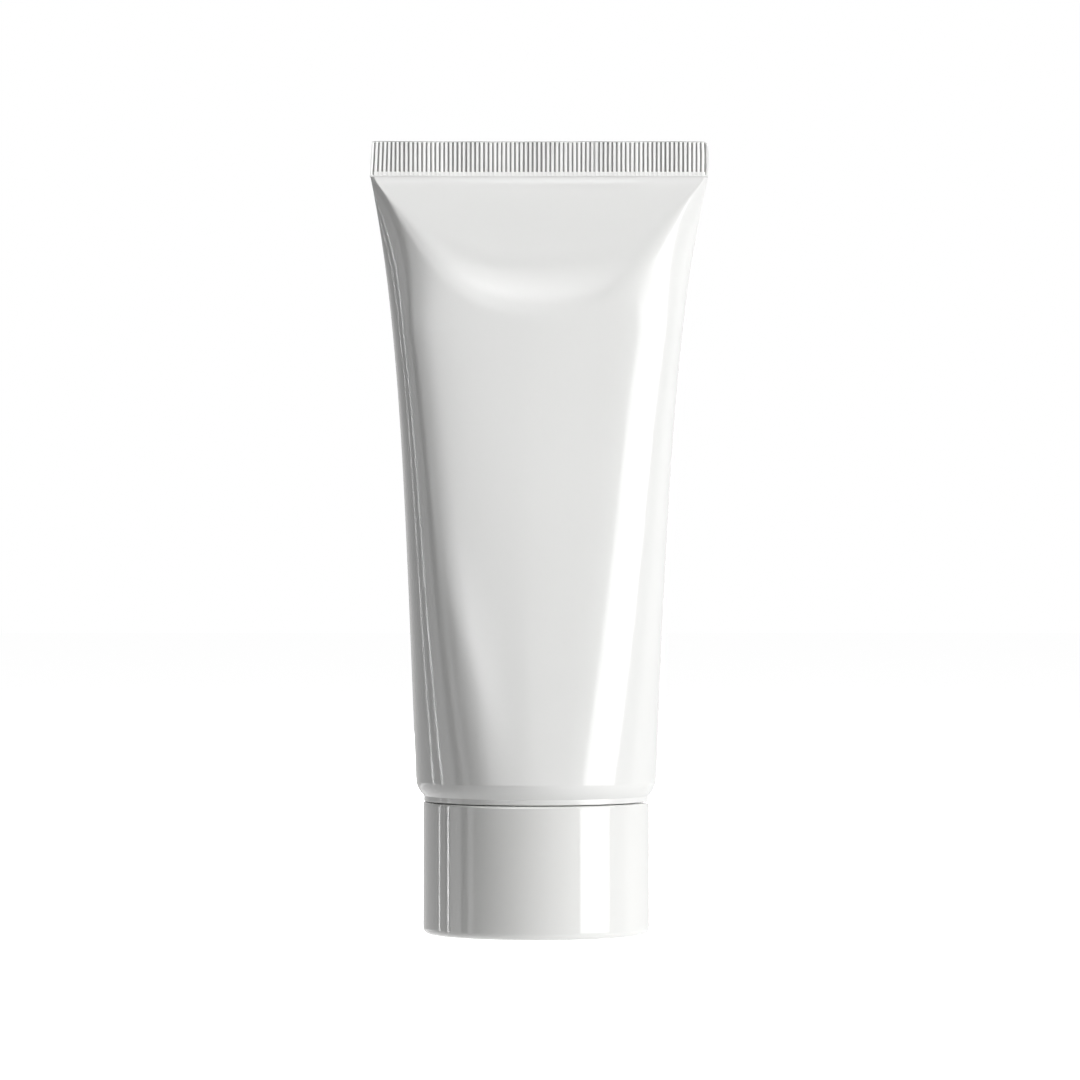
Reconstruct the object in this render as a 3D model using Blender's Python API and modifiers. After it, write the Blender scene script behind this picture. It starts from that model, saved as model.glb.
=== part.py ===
# A plain squeeze tube of shaving cream, standing on its screw cap.
# Units are metres and +Z is up. The origin is the centre of the cap's flat foot, X runs along the
# crimped seal and the front faces -Y. The tube unscrews from the cap on the Z axis.
import math

import bmesh
import bpy

# Overall sizes of the tube and of its cap
TUBE_RADIUS = 0.0200
CRIMP_HALF_WIDTH = 0.0281
CRIMP_HEIGHT = 0.0059
TOTAL_HEIGHT = 0.1314
CAP_RADIUS = 0.0188
CAP_HEIGHT = 0.0218
CLEARANCE = 0.0003            # smallest gap between two pieces
LOOSE_CLEARANCE = 0.00035     # gap between pieces that snap or turn in one another

# Sleeve: one wall, flattened from a circle at the foot to the crimped seal at the top
WALL = 0.0005
FOOT_ROUNDING = 0.0040
FOOT_CREASE = 10              # degrees; the side meets the foot's rounding at this angle
FOOT_STEPS = 4
FOOT_LIP_RADIUS = 0.0185      # the rounding ends in a short upright lip over the cap's rim
FOOT_BOTTOM = CAP_HEIGHT + CLEARANCE
SIDE_BOTTOM = 0.0252          # height of that crease
FOOT_OPENING_RADIUS = 0.0172
CRIMP_BOTTOM = TOTAL_HEIGHT - CRIMP_HEIGHT
CRIMP_OFFSET = 0.0004         # the filled sleeve leans a little to +X
LEAN_POWER = 1.5
WIDTH_FLARE = 0.0041          # even widening of each side up to the crimp
WIDTH_TOP_FLARE = 0.0039      # further widening close to the crimp
WIDTH_TOP_POWER = 4.2
DEPTH_EVEN_LOSS = 0.0050      # how the half depth shrinks on the way up
DEPTH_SQUARE_LOSS = 0.0052
FULLNESS = 0.36               # how much flatter than an ellipse the front and the back are
FULLNESS_REACH = 0.5          # share of the climb over which that grows
FACET_SLOPE = 0.69            # flat face under the crimp, depth gained per height lost
FACET_FILLET = 0.0012
FACET_START = 0.00036         # half thickness where the face leaves the crimp
FACET_WALL_SHARE = 1.2        # wall of the sloped face, measured level
BEND_SOFTNESS = 0.0014        # rounding where the flat face meets the full body
CORNER_POINT = 1.35           # how far the section's ends become pointed at the crimp
CORNER_POINT_START = 0.74     # share of the climb where that starts
CORNER_POINT_POWER = 1.5
CAVITY_TOP = CRIMP_BOTTOM - 0.0013
CAVITY_LEAST_DEPTH = 0.00012

# Crimped seal with its upright ribs
RIB_COUNT = 75
RIB_MARGIN = 0.00055
RIB_CREST = 0.00048
RIB_GROOVE = 0.00038
CRIMP_OVERLAP = 0.0008        # how far the sleeve runs up inside the ribbed seal

# Head: the moulded shoulder and threaded neck closed into the sleeve's foot
SHOULDER_RADIUS = 0.0169
SHOULDER_SLOPE = 0.291
SHOULDER_WALL = 0.0012
HEAD_RIM_INNER = 0.0182
HEAD_RIM_TOP = 0.0278
HEAD_RIM_TAPER = 0.0007       # thinning towards the rim's upper edge
HEAD_RIM_TAPER_HEIGHT = 0.0010
NECK_RADIUS = 0.00785
NECK_BORE = 0.0066
NECK_BOTTOM = 0.0105
NECK_END_WALL = 0.0012
NECK_FILLET = 0.0009          # where the neck's outside meets the shoulder
NECK_CHAMFER = 0.00045
BORE_FILLET = 0.0006
ORIFICE_RADIUS = 0.00275

# Thread: right handed, one start
PITCH = 0.003175
MALE_CREST = 0.0089
FEMALE_CREST = 0.00815
COLLAR_RADIUS = 0.00925
THREAD_LOW = 0.0126           # height of the neck thread's centre line where it starts
MALE_TURNS = 1.5
FEMALE_TURNS = (-0.4, 1.0)
THREAD_ROOT_WIDTH = 0.0018
THREAD_CREST_WIDTH = 0.00065
THREAD_ROOT_DEPTH = 0.0004    # how far each ridge is sunk into its wall
THREAD_FADE = 0.14            # share of a turn over which a ridge grows
THREAD_LEAST = 0.06           # share of that growth that its end starts with

# Peel-off foil under the neck
FOIL_RADIUS = 0.0072
FOIL_TOP = NECK_BOTTOM - CLEARANCE
FOIL_THICKNESS = 0.0002
TAB_HALF_WIDTH = 0.0023
TAB_REACH = 0.0075            # the pull tab's fold stands a little outside the disc
TAB_END = 0.0010
TAB_ROOT = 0.0057
TAB_SKIN = 0.00012
TAB_FOLD_GAP = 0.00016

# Cream fill
FILL_TOP = 0.1160

# Cap shell
CAP_WALL = 0.0014
CAP_INNER = CAP_RADIUS - CAP_WALL
CAP_FLOOR = 0.0019
CAP_FOOT_EDGE = 0.0010
CAP_RIM_EDGE = 0.0005
CAP_RECESS_RADIUS = 0.0155
CAP_RECESS_DEPTH = 0.0005
GATE_RADIUS = 0.0009
GATE_HEIGHT = 0.00025
SNAP_GROOVE_RADIUS = 0.0178
SNAP_HEIGHT = 0.0206
DRIVE_RIB_COUNT = 6
DRIVE_RIB_INNER = 0.01675
DRIVE_RIB_WIDTH = 0.0010
DRIVE_RIB_TOP = 0.0208
DRIVE_RIB_CHAMFER = 0.0004
JOIN_OVERLAP = 0.0005         # how far a rib or fin is sunk into the wall that it stands on

# Threaded insert in the cap
COLLAR_OUTER = 0.0109
INSERT_BOTTOM = CAP_FLOOR + LOOSE_CLEARANCE
COLLAR_TOP = 0.0194
CEILING_BOTTOM = 0.0070
CEILING_TOP = 0.0083
FLANGE_RADIUS = 0.01705
FLANGE_DROP = 0.0010          # how far the flange lies below the tube's shoulder
FLANGE_THICKNESS = 0.00104
SNAP_BEAD = 0.0004
FIN_COUNT = 8
FIN_THICKNESS = 0.0010
FIN_OUTER = 0.0163
FIN_LIFT = 0.0004             # how far a fin ends above the collar's foot
NOTCH_DEPTH = 0.0020          # the notches reach this far below the snap bead

# Liner disc on the insert's ceiling
LINER_RADIUS = 0.0087
LINER_BOTTOM = CEILING_TOP + CLEARANCE
LINER_THICKNESS = 0.00085
LINER_EDGE = 0.00015

# Facets
TURNED_STEPS = 48
THREAD_STEPS = 28             # per turn
SLEEVE_SIDES = 48
BODY_LEVELS = 5               # evenly spaced sections below the bend
BEND_LEVELS = 10              # and from there up to the crimp
BEND_START = 0.0960
CREAM_SIDES = 36
ROUNDING_STEPS = 3
SMOOTH_ANGLE = math.radians(35)
MERGE = 0.00001


def clear_scene():
    for obj in list(bpy.data.objects):
        bpy.data.objects.remove(obj, do_unlink=True)


def new_collection(name):
    collection = bpy.data.collections.new(name)
    bpy.context.scene.collection.children.link(collection)
    return collection


def plain_material(name, color, roughness, metallic=0.0):
    material = bpy.data.materials.new(name)
    material.use_nodes = True
    shader = material.node_tree.nodes["Principled BSDF"]
    shader.inputs["Base Color"].default_value = (*color, 1.0)
    shader.inputs["Roughness"].default_value = roughness
    shader.inputs["Metallic"].default_value = metallic
    material.diffuse_color = (*color, 1.0)
    return material


def add_object(name, mesh, collection):
    obj = bpy.data.objects.new(name, mesh)
    collection.objects.link(obj)
    return obj


def add_axis(name, collection, parent=None):
    axis = bpy.data.objects.new(name, None)
    axis.empty_display_type = "SINGLE_ARROW"
    axis.empty_display_size = CAP_RADIUS
    axis.parent = parent
    collection.objects.link(axis)
    return axis


def finish_piece(obj, material, parent=None):
    # Materials go on the mesh, and round faces are shaded smooth up to the sharp edges.
    obj.data.materials.append(material)
    obj.data.shade_smooth()
    obj.data.set_sharp_from_angle(angle=SMOOTH_ANGLE)
    obj.parent = parent
    return obj


def loft(name, rings, collection):
    # Joins rings of equally many points, one after another, and closes the two ends.
    work = bmesh.new()
    rows = [[work.verts.new(point) for point in ring] for ring in rings]
    for low, high in zip(rows, rows[1:]):
        for i in range(len(low)):
            j = (i + 1) % len(low)
            work.faces.new((low[i], low[j], high[j], high[i]))
    work.faces.new(rows[0][::-1])
    work.faces.new(rows[-1])
    bmesh.ops.recalc_face_normals(work, faces=work.faces)
    mesh = bpy.data.meshes.new(name)
    work.to_mesh(mesh)
    work.free()
    return add_object(name, mesh, collection)


def turned(name, profile, collection, closed=False):
    # Turns a profile of (radius, height) points about Z. Its outer side runs downwards.
    work = bmesh.new()
    points = [work.verts.new((radius, 0.0, height)) for radius, height in profile]
    ends = points[1:] + points[:1] if closed else points[1:]
    for start, end in zip(points, ends):
        work.edges.new((start, end))
    mesh = bpy.data.meshes.new(name)
    work.to_mesh(mesh)
    work.free()
    obj = add_object(name, mesh, collection)
    screw = obj.modifiers.new("turned", "SCREW")
    screw.axis = "Z"
    screw.steps = TURNED_STEPS
    screw.render_steps = TURNED_STEPS
    screw.use_merge_vertices = True
    screw.merge_threshold = MERGE
    screw.use_smooth_shade = True
    return obj


def slab(name, outline, thickness, angle, collection):
    # An upright plate: an outline of (radius, height) points, turned about Z to its angle.
    side_x = -math.sin(angle) * thickness / 2
    side_y = math.cos(angle) * thickness / 2
    faces = []
    for sign in (-1, 1):
        faces.append([
            (r * math.cos(angle) + sign * side_x, r * math.sin(angle) + sign * side_y, z)
            for r, z in outline
        ])
    return loft(name, faces, collection)


def combine(target, tool, operation):
    tool.hide_render = True
    tool.display_type = "WIRE"
    boolean = target.modifiers.new(f"{operation.lower()} {tool.name}", "BOOLEAN")
    boolean.operation = operation
    boolean.solver = "EXACT"
    boolean.object = tool


def arc(center_radius, center_height, radius, start, end, steps=ROUNDING_STEPS):
    # Points of a profile's rounding, from one angle to another in degrees.
    points = []
    for i in range(steps + 1):
        angle = math.radians(start + (end - start) * i / steps)
        points.append((
            center_radius + radius * math.cos(angle),
            center_height + radius * math.sin(angle),
        ))
    return points


def soft_min(a, b, softness):
    share = min(1.0, max(0.0, 0.5 + 0.5 * (b - a) / softness))
    return b + (a - b) * share - softness * share * (1.0 - share)


def climb(height):
    # 0 at the foot's rounding and 1 at the crimp.
    return (height - SIDE_BOTTOM) / (CRIMP_BOTTOM - SIDE_BOTTOM)


def lean(height):
    return CRIMP_OFFSET * min(1.0, max(0.0, climb(height))) ** LEAN_POWER


def facet_depth(height):
    drop = max(0.0, CRIMP_BOTTOM - height)
    return FACET_START + FACET_SLOPE * (math.hypot(drop, FACET_FILLET) - FACET_FILLET)


def body_section(height, inset, sides, least_depth=0.0):
    # The filled sleeve's outline at a height, moved in by inset: a flattened ellipse whose ends
    # grow pointed near the crimp, cut off in front and behind by the sloped flat faces.
    t = min(1.0, climb(height))
    width = TUBE_RADIUS + WIDTH_FLARE * t + WIDTH_TOP_FLARE * t**WIDTH_TOP_POWER - inset
    depth = TUBE_RADIUS - DEPTH_EVEN_LOSS * t - DEPTH_SQUARE_LOSS * t * t - inset
    flat = max(least_depth, facet_depth(height) - FACET_WALL_SHARE * inset)
    softness = BEND_SOFTNESS * min(1.0, flat / (3 * BEND_SOFTNESS))
    grown = 1.0 - (1.0 - min(1.0, max(0.0, t) / FULLNESS_REACH)) ** 2
    pointed = max(0.0, t - CORNER_POINT_START) / (1.0 - CORNER_POINT_START)
    power = 1.0 - FULLNESS * grown + CORNER_POINT * pointed**CORNER_POINT_POWER
    ring = []
    for i in range(sides):
        angle = 2 * math.pi * i / sides
        across = width * math.cos(angle)
        out = soft_min(depth * abs(math.sin(angle)) ** power, flat, softness)
        ring.append((lean(height) + across, math.copysign(out, math.sin(angle)), height))
    return ring


def circle_section(radius, height, sides):
    angles = [2 * math.pi * i / sides for i in range(sides)]
    return [(radius * math.cos(a), radius * math.sin(a), height) for a in angles]


def section_heights(bottom, top):
    # Both ends and the shared heights between them, which lie closer together above the bend.
    body_step = (BEND_START - SIDE_BOTTOM) / BODY_LEVELS
    bend_step = (CRIMP_BOTTOM - BEND_START) / BEND_LEVELS
    shared = [SIDE_BOTTOM + i * body_step for i in range(BODY_LEVELS)]
    shared += [BEND_START + i * bend_step for i in range(BEND_LEVELS)]
    spare = bend_step / 4
    return [bottom] + [z for z in shared if bottom + spare < z < top - spare] + [top]


def foot_profile(inset):
    # The sleeve's foot from its flat floor up the short lip and the rounding to the crease.
    crease = math.radians(FOOT_CREASE)
    center_radius = TUBE_RADIUS - FOOT_ROUNDING * math.cos(crease)
    center_height = SIDE_BOTTOM + FOOT_ROUNDING * math.sin(crease)
    radius = FOOT_ROUNDING - inset
    start = -math.degrees(math.asin((center_height - FOOT_BOTTOM - inset) / radius))
    lip = FOOT_LIP_RADIUS - inset
    rounding = arc(center_radius, center_height, radius, start, -FOOT_CREASE, FOOT_STEPS)
    return [(max(r, lip), z) for r, z in rounding]


def sleeve_rings():
    # One folded surface: down the inside, round the opening and up the outside.
    inside = [
        body_section(z, WALL, SLEEVE_SIDES, CAVITY_LEAST_DEPTH)
        for z in section_heights(SIDE_BOTTOM, CAVITY_TOP)[:0:-1]
    ]
    inside += [circle_section(r, z, SLEEVE_SIDES) for r, z in foot_profile(WALL)[::-1]]
    opening = [
        circle_section(FOOT_OPENING_RADIUS, FOOT_BOTTOM + WALL, SLEEVE_SIDES),
        circle_section(FOOT_OPENING_RADIUS, FOOT_BOTTOM, SLEEVE_SIDES),
    ]
    outside = [circle_section(r, z, SLEEVE_SIDES) for r, z in foot_profile(0.0)]
    outside += [
        body_section(z, 0.0, SLEEVE_SIDES)
        for z in section_heights(SIDE_BOTTOM, CRIMP_BOTTOM)[1:]
    ]
    outside.append(body_section(CRIMP_BOTTOM + CRIMP_OVERLAP, 0.0, SLEEVE_SIDES))
    return inside + opening + outside


def rib_rings():
    # Upright cuts through the seal, alternately at a rib's crest and in a groove.
    pitch = 2 * (CRIMP_HALF_WIDTH - RIB_MARGIN) / RIB_COUNT
    start = RIB_MARGIN - CRIMP_HALF_WIDTH
    stations = [(-CRIMP_HALF_WIDTH, RIB_GROOVE)]
    for i in range(RIB_COUNT):
        stations.append((start + i * pitch, RIB_GROOVE))
        stations.append((start + (i + 0.5) * pitch, RIB_CREST))
    stations.append((start + RIB_COUNT * pitch, RIB_GROOVE))
    stations.append((CRIMP_HALF_WIDTH, RIB_GROOVE))
    corners = ((-1, CRIMP_BOTTOM), (1, CRIMP_BOTTOM), (1, TOTAL_HEIGHT), (-1, TOTAL_HEIGHT))
    return [[(CRIMP_OFFSET + x, side * y, z) for side, z in corners] for x, y in stations]


def thread_rings(root, crest, first_turn, last_turn, low):
    # A ridge of trapezoid section along a right-handed helix, fading out at both ends.
    outward = math.copysign(1.0, crest - root)
    steps = round((last_turn - first_turn) * THREAD_STEPS)
    rings = []
    for i in range(steps + 1):
        turn = first_turn + (last_turn - first_turn) * i / steps
        from_end = min(turn - first_turn, last_turn - turn) / THREAD_FADE
        grown = math.sin(math.pi / 2 * min(1.0, max(THREAD_LEAST, from_end)))
        height = low + PITCH * turn
        tip = root + (crest - root) * grown
        sunk = root - outward * THREAD_ROOT_DEPTH
        root_half = THREAD_ROOT_WIDTH / 2
        tip_half = root_half + (THREAD_CREST_WIDTH / 2 - root_half) * grown
        angle = 2 * math.pi * turn
        section = (
            (sunk, -root_half), (root, -root_half), (tip, -tip_half),
            (tip, tip_half), (root, root_half), (sunk, root_half),
        )
        rings.append([(r * math.cos(angle), r * math.sin(angle), height + z) for r, z in section])
    return rings


def shoulder_height(radius):
    # Underside of the head's sloped shoulder.
    return FOOT_BOTTOM - SHOULDER_SLOPE * (SHOULDER_RADIUS - radius)


def head_profile():
    rim_outer = TUBE_RADIUS - WALL - CLEARANCE
    rim_floor = FOOT_BOTTOM + WALL + CLEARANCE
    outer = [(rim_outer, HEAD_RIM_TOP)]
    outer += [(min(r, rim_outer), z) for r, z in foot_profile(WALL + CLEARANCE)[::-1]]
    outer += [
        (SHOULDER_RADIUS, rim_floor),
        (SHOULDER_RADIUS, shoulder_height(SHOULDER_RADIUS)),
        (NECK_RADIUS + NECK_FILLET, shoulder_height(NECK_RADIUS + NECK_FILLET)),
        (NECK_RADIUS + NECK_FILLET / 4, shoulder_height(NECK_RADIUS) - NECK_FILLET / 4),
        (NECK_RADIUS, shoulder_height(NECK_RADIUS) - NECK_FILLET),
        (NECK_RADIUS, NECK_BOTTOM + NECK_CHAMFER),
        (NECK_RADIUS - NECK_CHAMFER, NECK_BOTTOM),
        (ORIFICE_RADIUS, NECK_BOTTOM),
    ]
    return outer + bore_profile(0.0) + [(HEAD_RIM_INNER + HEAD_RIM_TAPER, HEAD_RIM_TOP)]


def bore_profile(inset):
    # The head's inside from the orifice up to the rim, and the cream's outside with an inset.
    end_wall = NECK_BOTTOM + NECK_END_WALL + inset
    inner_root = shoulder_height(NECK_BORE) + SHOULDER_WALL + inset
    return [
        (ORIFICE_RADIUS - inset, end_wall),
        (NECK_BORE - inset, end_wall + BORE_FILLET),
        (NECK_BORE - inset, inner_root - BORE_FILLET),
        (NECK_BORE + BORE_FILLET - inset, inner_root),
        (SHOULDER_RADIUS - inset / 2, shoulder_height(SHOULDER_RADIUS) + SHOULDER_WALL + inset),
        (HEAD_RIM_INNER - inset, SIDE_BOTTOM),
        (HEAD_RIM_INNER - inset, HEAD_RIM_TOP - HEAD_RIM_TAPER_HEIGHT),
    ]


def cream_rings():
    rings = [circle_section(ORIFICE_RADIUS - CLEARANCE, NECK_BOTTOM, CREAM_SIDES)]
    rings += [circle_section(r, z, CREAM_SIDES) for r, z in bore_profile(CLEARANCE)]
    inset = WALL + CLEARANCE
    over_rim = HEAD_RIM_TOP + CLEARANCE
    rings.append(circle_section(HEAD_RIM_INNER + CLEARANCE, over_rim, CREAM_SIDES))
    rings += [
        body_section(z, inset, CREAM_SIDES)
        for z in section_heights(over_rim + 2 * CLEARANCE, FILL_TOP)
    ]
    return rings


def shell_profile():
    inner_fillet = 0.0005
    lead_in = 0.0003
    half_groove = 0.0005
    slope = 0.0002
    edge = CAP_RIM_EDGE
    foot = CAP_FOOT_EDGE
    profile = [(0.0, CAP_FLOOR), (CAP_INNER - inner_fillet, CAP_FLOOR)]
    profile += [
        (CAP_INNER, CAP_FLOOR + inner_fillet),
        (CAP_INNER, SNAP_HEIGHT - half_groove - slope),
        (SNAP_GROOVE_RADIUS, SNAP_HEIGHT - half_groove),
        (SNAP_GROOVE_RADIUS, SNAP_HEIGHT + half_groove),
        (CAP_INNER, SNAP_HEIGHT + half_groove + slope),
        (CAP_INNER, CAP_HEIGHT - lead_in),
        (CAP_INNER + lead_in, CAP_HEIGHT),
    ]
    profile += arc(CAP_RADIUS - edge, CAP_HEIGHT - edge, edge, 90, 0)
    profile += arc(CAP_RADIUS - foot, foot, foot, 0, -90)
    profile += [
        (CAP_RECESS_RADIUS, 0.0),
        (CAP_RECESS_RADIUS - CAP_RECESS_DEPTH / 2, CAP_RECESS_DEPTH),
        (GATE_RADIUS + GATE_HEIGHT / 2, CAP_RECESS_DEPTH),
        (GATE_RADIUS, CAP_RECESS_DEPTH - GATE_HEIGHT),
        (0.0, CAP_RECESS_DEPTH - GATE_HEIGHT),
    ]
    return profile


def drive_rib_angle(index):
    return 2 * math.pi * (index + 0.5) / DRIVE_RIB_COUNT


def flange_top(radius):
    return shoulder_height(radius) - FLANGE_DROP


def insert_profile():
    lead_in = 0.0003
    bead_half = 0.0001
    bead_slope = 0.0001
    return [
        (0.0, CEILING_TOP),
        (COLLAR_RADIUS, CEILING_TOP),
        (COLLAR_RADIUS, COLLAR_TOP - lead_in),
        (COLLAR_RADIUS + lead_in, COLLAR_TOP),
        (COLLAR_OUTER, flange_top(COLLAR_OUTER)),
        (FLANGE_RADIUS, flange_top(FLANGE_RADIUS)),
        (FLANGE_RADIUS, SNAP_HEIGHT + bead_half + bead_slope),
        (FLANGE_RADIUS + SNAP_BEAD, SNAP_HEIGHT + bead_half),
        (FLANGE_RADIUS + SNAP_BEAD, SNAP_HEIGHT - bead_half),
        (FLANGE_RADIUS, SNAP_HEIGHT - bead_half - bead_slope),
        (FLANGE_RADIUS, flange_top(FLANGE_RADIUS) - FLANGE_THICKNESS),
        (COLLAR_OUTER, flange_top(COLLAR_OUTER) - FLANGE_THICKNESS),
        (COLLAR_OUTER, INSERT_BOTTOM),
        (COLLAR_RADIUS, INSERT_BOTTOM),
        (COLLAR_RADIUS, CEILING_BOTTOM),
        (0.0, CEILING_BOTTOM),
    ]


def build_sleeve(parts, tools, parent):
    sleeve = loft("tube_sleeve", sleeve_rings(), parts)
    combine(sleeve, loft("crimp_ribs", rib_rings(), tools), "UNION")
    finish_piece(sleeve, plain_material("white_soft_plastic", (0.86, 0.86, 0.86), 0.16), parent)


def build_head(parts, tools, parent):
    head = turned("tube_head", head_profile(), parts, closed=True)
    ridge = thread_rings(NECK_RADIUS, MALE_CREST, 0.0, MALE_TURNS, THREAD_LOW)
    combine(head, loft("neck_thread", ridge, tools), "UNION")
    finish_piece(head, plain_material("white_moulded_head", (0.84, 0.84, 0.83), 0.38), parent)


def build_foil(parts, tools, parent):
    bottom = FOIL_TOP - FOIL_THICKNESS
    disc = [(0.0, FOIL_TOP), (FOIL_RADIUS, FOIL_TOP), (FOIL_RADIUS, bottom), (0.0, bottom)]
    foil = turned("orifice_foil", disc, parts)
    over = bottom + FOIL_THICKNESS / 4
    under = over - TAB_FOLD_GAP
    bend = (over + under) / 2
    outline = [
        (TAB_ROOT, over + TAB_SKIN),
        (TAB_REACH - TAB_SKIN, over + TAB_SKIN),
        (TAB_REACH, bend),
        (TAB_REACH - TAB_SKIN, under - TAB_SKIN),
        (TAB_END, under - TAB_SKIN),
        (TAB_END, under),
        (TAB_REACH - 2 * TAB_SKIN, under),
        (TAB_REACH - 1.4 * TAB_SKIN, bend),
        (TAB_REACH - 2 * TAB_SKIN, over),
        (TAB_ROOT, over),
    ]
    combine(foil, slab("pull_tab", outline, 2 * TAB_HALF_WIDTH, math.pi, tools), "UNION")
    finish_piece(foil, plain_material("foil", (0.78, 0.79, 0.80), 0.28, 1.0), parent)


def build_cream(parts, parent):
    cream = loft("shaving_cream", cream_rings(), parts)
    finish_piece(cream, plain_material("white_cream", (0.93, 0.94, 0.92), 0.45), parent)


def build_shell(parts, tools, parent):
    shell = turned("cap_shell", shell_profile(), parts)
    outline = [
        (DRIVE_RIB_INNER, CAP_FLOOR - JOIN_OVERLAP),
        (CAP_INNER + JOIN_OVERLAP, CAP_FLOOR - JOIN_OVERLAP),
        (CAP_INNER + JOIN_OVERLAP, DRIVE_RIB_TOP),
        (DRIVE_RIB_INNER, DRIVE_RIB_TOP - DRIVE_RIB_CHAMFER),
    ]
    for i in range(DRIVE_RIB_COUNT):
        angle = drive_rib_angle(i)
        rib = slab(f"drive_rib_{i + 1}", outline, DRIVE_RIB_WIDTH, angle, tools)
        combine(shell, rib, "UNION")
    finish_piece(shell, plain_material("white_gloss_cap", (0.84, 0.84, 0.84), 0.12), parent)


def build_insert(parts, tools, parent):
    insert = turned("cap_insert", insert_profile(), parts)
    ridge = thread_rings(COLLAR_RADIUS, FEMALE_CREST, *FEMALE_TURNS, THREAD_LOW + PITCH / 2)
    combine(insert, loft("collar_thread", ridge, tools), "UNION")
    fin_root = COLLAR_OUTER - JOIN_OVERLAP
    sunk = FLANGE_THICKNESS / 2
    outline = [
        (fin_root, INSERT_BOTTOM + FIN_LIFT),
        (FIN_OUTER, INSERT_BOTTOM + FIN_LIFT),
        (FIN_OUTER, flange_top(FIN_OUTER) - sunk),
        (fin_root, flange_top(fin_root) - sunk),
    ]
    for i in range(FIN_COUNT):
        fin = slab(f"fin_{i + 1}", outline, FIN_THICKNESS, 2 * math.pi * i / FIN_COUNT, tools)
        combine(insert, fin, "UNION")
    notch_inner = DRIVE_RIB_INNER - LOOSE_CLEARANCE
    notch_width = DRIVE_RIB_WIDTH + 2 * LOOSE_CLEARANCE
    notch = [
        (notch_inner, SNAP_HEIGHT - NOTCH_DEPTH),
        (CAP_RADIUS, SNAP_HEIGHT - NOTCH_DEPTH),
        (CAP_RADIUS, CAP_HEIGHT),
        (notch_inner, CAP_HEIGHT),
    ]
    for i in range(DRIVE_RIB_COUNT):
        angle = drive_rib_angle(i)
        combine(insert, slab(f"notch_{i + 1}", notch, notch_width, angle, tools), "DIFFERENCE")
    finish_piece(insert, plain_material("white_insert", (0.82, 0.82, 0.81), 0.42), parent)


def build_liner(parts, parent):
    top = LINER_BOTTOM + LINER_THICKNESS
    profile = [
        (0.0, top),
        (LINER_RADIUS - LINER_EDGE, top),
        (LINER_RADIUS, top - LINER_EDGE),
        (LINER_RADIUS, LINER_BOTTOM + LINER_EDGE),
        (LINER_RADIUS - LINER_EDGE, LINER_BOTTOM),
        (0.0, LINER_BOTTOM),
    ]
    liner = turned("liner_disc", profile, parts)
    finish_piece(liner, plain_material("foam_liner", (0.80, 0.80, 0.78), 0.80), parent)


def main():
    clear_scene()
    parts = new_collection("shaving_cream_tube")
    tools = new_collection("cutters")
    turn_axis = add_axis("cap_unscrew_axis", parts)
    rise_axis = add_axis("neck_rise_axis", parts, turn_axis)
    build_shell(parts, tools, None)
    build_insert(parts, tools, None)
    build_liner(parts, turn_axis)
    build_sleeve(parts, tools, rise_axis)
    build_head(parts, tools, rise_axis)
    build_foil(parts, tools, rise_axis)
    build_cream(parts, rise_axis)


main()
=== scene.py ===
import math

import bmesh
import bpy
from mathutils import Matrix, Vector, noise


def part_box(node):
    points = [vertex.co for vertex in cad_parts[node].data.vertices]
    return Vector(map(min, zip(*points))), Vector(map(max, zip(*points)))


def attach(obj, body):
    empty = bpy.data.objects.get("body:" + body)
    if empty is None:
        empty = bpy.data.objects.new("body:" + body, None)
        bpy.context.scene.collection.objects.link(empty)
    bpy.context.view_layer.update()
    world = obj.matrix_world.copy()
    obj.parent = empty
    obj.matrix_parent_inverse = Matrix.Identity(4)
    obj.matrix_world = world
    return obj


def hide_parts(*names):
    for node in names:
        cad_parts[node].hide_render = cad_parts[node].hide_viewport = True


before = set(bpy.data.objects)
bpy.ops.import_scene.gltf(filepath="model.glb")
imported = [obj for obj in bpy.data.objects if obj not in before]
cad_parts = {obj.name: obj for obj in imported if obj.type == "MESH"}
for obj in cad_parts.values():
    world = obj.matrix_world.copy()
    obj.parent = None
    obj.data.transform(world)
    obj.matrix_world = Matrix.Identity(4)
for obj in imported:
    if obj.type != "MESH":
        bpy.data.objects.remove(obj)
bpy.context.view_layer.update()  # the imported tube, its cap and the thread joint between them
print("frame loaded with", len(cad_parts), "nodes")

sleeveLow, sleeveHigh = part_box("tube_sleeve")
headLow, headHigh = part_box("tube_head")
foilLow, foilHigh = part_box("orifice_foil")
shellLow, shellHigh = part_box("cap_shell")
insertLow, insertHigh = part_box("cap_insert")
linerLow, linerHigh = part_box("liner_disc")
creamLow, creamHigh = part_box("shaving_cream")
mm = 0.001        # one millimetre in scene units
turnSteps = 144   # facets round a turned piece


def skinRings(name, rings, loop=False, capped=True):
    # joins equal rings one after another; loop joins the last ring to the first one
    count = len(rings[0])
    points = [point for ring in rings for point in ring]
    faces = []
    for row in range(len(rings) if loop else len(rings) - 1):
        near = row * count
        far = (row + 1) % len(rings) * count
        for i in range(count):
            j = (i + 1) % count
            faces.append((near + i, near + j, far + j, far + i))
    if capped and not loop:
        faces.append(tuple(range(count))[::-1])
        faces.append(tuple(range(len(points) - count, len(points))))
    mesh = bpy.data.meshes.new(name)
    mesh.from_pydata(points, [], faces)
    weldMesh(mesh)
    piece = bpy.data.objects.new(name, mesh)
    bpy.context.scene.collection.objects.link(piece)
    return piece


def weldMesh(mesh, reach=0.0005 * mm):
    work = bmesh.new()
    work.from_mesh(mesh)
    bmesh.ops.remove_doubles(work, verts=work.verts, dist=reach)
    bmesh.ops.recalc_face_normals(work, faces=work.faces)
    work.to_mesh(mesh)
    work.free()


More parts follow.
